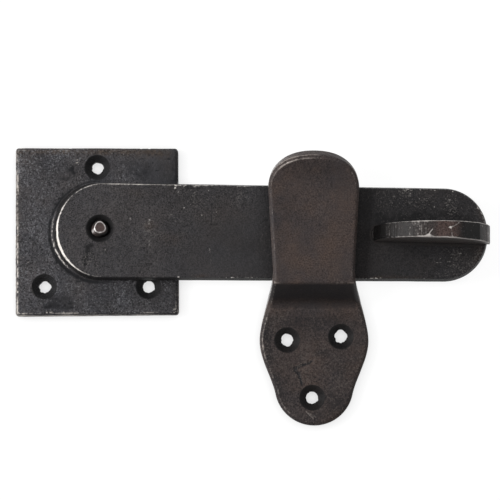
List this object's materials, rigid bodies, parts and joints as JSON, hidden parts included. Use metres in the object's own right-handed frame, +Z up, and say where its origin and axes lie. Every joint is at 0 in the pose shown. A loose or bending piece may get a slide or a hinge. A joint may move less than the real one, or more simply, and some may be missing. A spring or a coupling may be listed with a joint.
{
  "type": "gate latch",
  "caption": "Forged gate latch: a bar with a half-round lift tab turns on a riveted plate and drops into a cranked keeper.",
  "frame": {"origin": "on the rivet's axis, in the plane of the plate's and the keeper's backs", "axes": "+X along the bar towards the lift tab, +Z up, +Y into the gate and post"},
  "size_m": [0.1911, 0.0332, 0.1124],
  "materials": {
    "plate_iron": "grainy blue-black iron with worn brown edges, waxed",
    "rivet_iron": "hammered head with bright worn facet edges",
    "bar_iron": "neutral black iron, fine grain and pits, bright worn edges",
    "tab_iron": "black iron with a ground rim and bright worn edges",
    "keeper_iron": "smooth warm brown-black iron, waxed"
  },
  "bodies": {
    "fixed": {"pivot_plate": "plate_iron", "pivot_rivet": "rivet_iron", "keeper": "keeper_iron"},
    "bar": {"latch_bar": "bar_iron", "lift_tab": "tab_iron"}
  },
  "joints": [
    {"name": "bar_pivot", "type": "hinge", "parent": "fixed", "child": "bar", "pos_m": [0, 0, 0], "axis": [0, -1, 0], "range_deg": [0, 321]}
  ]
}
